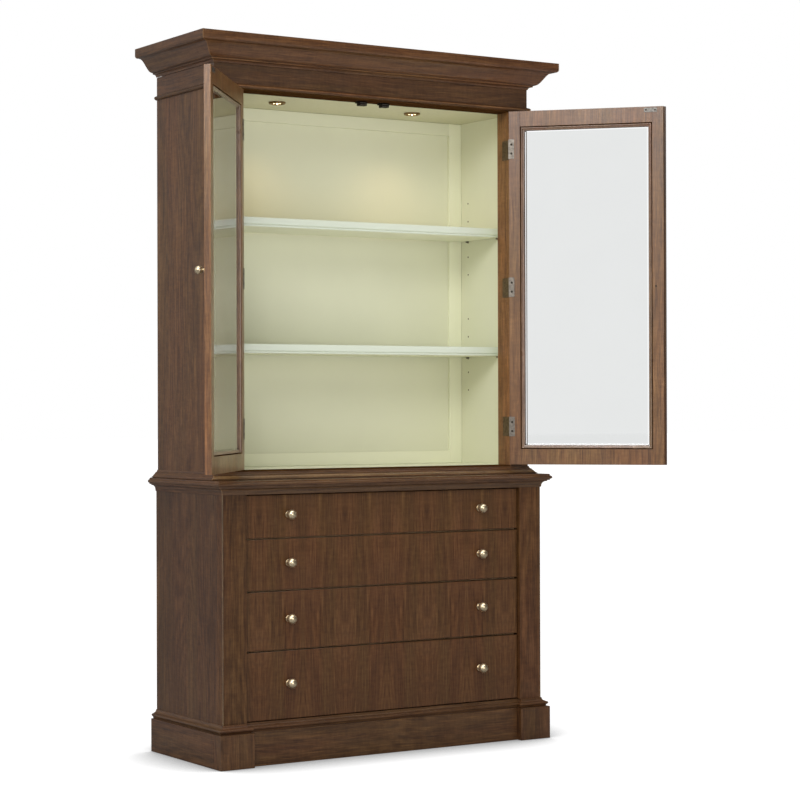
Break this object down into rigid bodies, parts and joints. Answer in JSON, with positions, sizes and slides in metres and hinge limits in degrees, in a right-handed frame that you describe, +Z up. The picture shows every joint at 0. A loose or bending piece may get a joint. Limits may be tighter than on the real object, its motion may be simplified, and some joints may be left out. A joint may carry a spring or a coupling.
{
  "type": "china cabinet",
  "caption": "China cabinet with glass doors on a lit, shelved hutch above a chest of graduated drawers, with a crown cornice, moulded waist and plinth.",
  "frame": {"origin": "on the floor at the centre of the plinth's footprint, under the plinth's middle bearer", "axes": "+Z up, +Y towards the wall behind the cabinet, +X towards the right side as seen from the front"},
  "size_m": [1.7353, 0.8168, 2.258],
  "materials": {
    "walnut": "satin dark walnut stain",
    "interior_paint": "satin sage cream paint",
    "drawer_wood": "clear sealed",
    "clear_glass": "polished, bevelled edges",
    "satin_nickel": "satin champagne nickel",
    "dark_bronze": "dark antique bronze"
  },
  "bodies": {
    "cabinet": {"plinth": "walnut", "base_moulding": "walnut", "base_face_frame": "walnut", "base_side_left": "walnut", "base_side_right": "walnut", "base_back": "walnut", "base_bottom": "drawer_wood", "dust_panel_1": "drawer_wood", "dust_panel_2": "drawer_wood", "dust_panel_3": "drawer_wood", "waist_moulding": "walnut", "base_top": "walnut", "hutch_base_moulding": "walnut", "hutch_front_frame": "walnut", "hutch_side_left": "walnut", "hutch_side_right": "walnut", "hutch_floor": "walnut", "hutch_ceiling": "walnut", "hutch_back_frame": "interior_paint", "hutch_back_panel": "interior_paint", "shelf_lower": "interior_paint", "shelf_upper": "interior_paint", "astragal_moulding": "walnut", "cornice_moulding": "walnut", "cornice_top_board": "walnut", "cornice_back_rail": "walnut", "hinge_left_lower_case_leaf": "dark_bronze", "hinge_left_middle_case_leaf": "dark_bronze", "hinge_left_upper_case_leaf": "dark_bronze", "hinge_right_lower_case_leaf": "dark_bronze", "hinge_right_middle_case_leaf": "dark_bronze", "hinge_right_upper_case_leaf": "dark_bronze"},
    "door_left": {"door_left_frame": "walnut", "door_left_glass": "clear_glass", "door_left_knob": "satin_nickel", "hinge_left_lower_door_leaf": "dark_bronze", "hinge_left_middle_door_leaf": "dark_bronze", "hinge_left_upper_door_leaf": "dark_bronze"},
    "door_right": {"door_right_frame": "walnut", "door_right_glass": "clear_glass", "door_right_knob": "satin_nickel", "hinge_right_lower_door_leaf": "dark_bronze", "hinge_right_middle_door_leaf": "dark_bronze", "hinge_right_upper_door_leaf": "dark_bronze"},
    "drawer_1": {"drawer_front_1": "walnut", "drawer_box_1": "drawer_wood", "drawer_knob_1_left": "satin_nickel", "drawer_knob_1_right": "satin_nickel"},
    "drawer_2": {"drawer_front_2": "walnut", "drawer_box_2": "drawer_wood", "drawer_knob_2_left": "satin_nickel", "drawer_knob_2_right": "satin_nickel"},
    "drawer_3": {"drawer_front_3": "walnut", "drawer_box_3": "drawer_wood", "drawer_knob_3_left": "satin_nickel", "drawer_knob_3_right": "satin_nickel"},
    "drawer_4": {"drawer_front_4": "walnut", "drawer_box_4": "drawer_wood", "drawer_knob_4_left": "satin_nickel", "drawer_knob_4_right": "satin_nickel"}
  },
  "joints": [
    {"name": "door_left_hinge", "type": "hinge", "parent": "cabinet", "child": "door_left", "pos_m": [-0.5204, -0.1575, 1.5025], "axis": [0, 0, 1], "range_deg": [-41, 129]},
    {"name": "door_right_hinge", "type": "hinge", "parent": "cabinet", "child": "door_right", "pos_m": [0.5204, -0.1575, 1.5025], "axis": [0, 0, -1], "range_deg": [-37, 133]},
    {"name": "drawer_1_slide", "type": "slide", "parent": "cabinet", "child": "drawer_1", "axis": [0, -1, 0], "range_m": [0, 0.33]},
    {"name": "drawer_2_slide", "type": "slide", "parent": "cabinet", "child": "drawer_2", "axis": [0, -1, 0], "range_m": [0, 0.33]},
    {"name": "drawer_3_slide", "type": "slide", "parent": "cabinet", "child": "drawer_3", "axis": [0, -1, 0], "range_m": [0, 0.33]},
    {"name": "drawer_4_slide", "type": "slide", "parent": "cabinet", "child": "drawer_4", "axis": [0, -1, 0], "range_m": [0, 0.33]}
  ]
}
